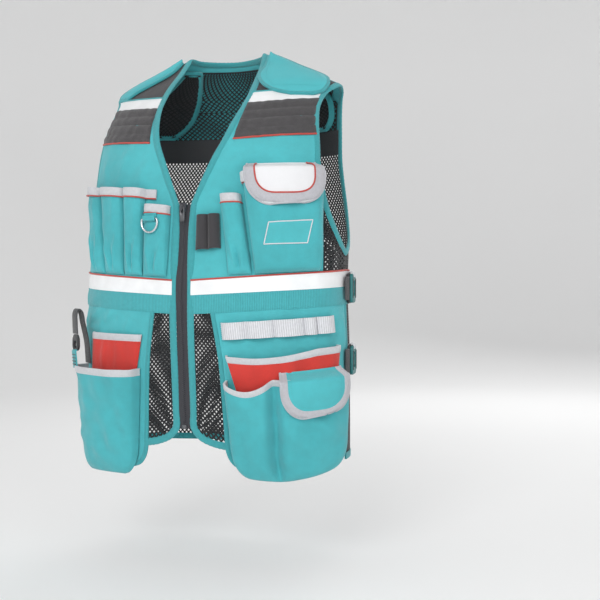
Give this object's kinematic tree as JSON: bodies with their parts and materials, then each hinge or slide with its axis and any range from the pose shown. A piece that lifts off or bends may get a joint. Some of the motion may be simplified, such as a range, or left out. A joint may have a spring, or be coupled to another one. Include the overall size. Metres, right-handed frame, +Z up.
{
  "type": "utility work vest",
  "caption": "Sleeveless cloth work vest with zip front, mesh sides and skirt, padded shoulders, pen and tool pockets, a holster pouch and side buckles, shaped as worn.",
  "frame": {"origin": "midway between the two neck points of the shoulder seams, where the garment rests on the wearer", "axes": "+Z up, the zip front faces -Y, +X to the wearer's left"},
  "size_m": [0.4704, 0.2709, 0.666],
  "materials": {
    "teal_cloth": "woven polyester, slightly ribbed",
    "red_cloth": "woven polyester",
    "grey_cloth": "woven, light grey",
    "reflective_tape": "pale reflective tape",
    "dark_cloth": "padded dark knit",
    "mesh_cloth": "open dark mesh",
    "webbing": "woven strap",
    "zip": "moulded zip on a woven tape",
    "steel": "plated wire and stamping",
    "plastic": "moulded, dark teal"
  },
  "bodies": {
    "vest": {"yoke_l": "dark_cloth", "yoke_r": "dark_cloth", "chest_tape_l": "reflective_tape", "chest_tape_r": "reflective_tape", "chest_pad_l": "dark_cloth", "chest_pad_r": "dark_cloth", "front_panel_l": "teal_cloth", "front_panel_r": "teal_cloth", "side_mesh_l": "mesh_cloth", "side_mesh_r": "mesh_cloth", "waist_tape_l": "reflective_tape", "waist_tape_r": "reflective_tape", "waist_tape_back": "reflective_tape", "waistband_l": "teal_cloth", "waistband_r": "teal_cloth", "waistband_back": "teal_cloth", "skirt_mesh_l": "mesh_cloth", "skirt_mesh_r": "mesh_cloth", "skirt_mesh_back": "mesh_cloth", "hip_panel_l": "teal_cloth", "hip_panel_r": "teal_cloth", "back_yoke": "teal_cloth", "back_lining": "mesh_cloth", "back_band": "dark_cloth", "back_mesh": "mesh_cloth", "back_tape": "reflective_tape", "neck_binding": "teal_cloth", "armhole_binding_l": "teal_cloth", "armhole_binding_r": "teal_cloth", "front_binding_l": "teal_cloth", "front_binding_r": "teal_cloth", "shoulder_pad_l": "teal_cloth", "shoulder_pad_r": "teal_cloth", "pad_lining_l": "mesh_cloth", "pad_lining_r": "mesh_cloth", "pen_pocket_1": "teal_cloth", "pen_pocket_2": "teal_cloth", "pen_pocket_3": "teal_cloth", "pen_pocket_4": "teal_cloth", "pen_pocket_5": "teal_cloth", "meter_pocket": "teal_cloth", "meter_flap": "grey_cloth", "tool_loop": "dark_cloth", "red_pocket": "red_cloth", "hip_pouch": "teal_cloth", "hip_flap": "teal_cloth", "hip_loops": "grey_cloth", "holster_back": "red_cloth", "holster_pouch": "teal_cloth", "zip_chain": "zip", "zip_slider": "zip", "ring_tab": "teal_cloth", "retention_strap": "webbing", "retention_clip": "plastic", "side_buckle_upper_l": "plastic", "side_buckle_lower_l": "plastic", "side_buckle_upper_r": "plastic", "side_buckle_lower_r": "plastic"},
    "ring": {"d_ring": "steel"},
    "pull": {"zip_pull": "steel"}
  },
  "joints": [
    {"name": "ring_swing", "type": "hinge", "parent": "vest", "child": "ring", "pos_m": [-0.0482, -0.12993, -0.27218], "axis": [-0.997, 0.0779, 0], "range_deg": [0, 150]},
    {"name": "pull_swing", "type": "hinge", "parent": "vest", "child": "pull", "pos_m": [0.00002, -0.11782, -0.25538], "axis": [-1, 0, 0], "range_deg": [0, 170]}
  ]
}
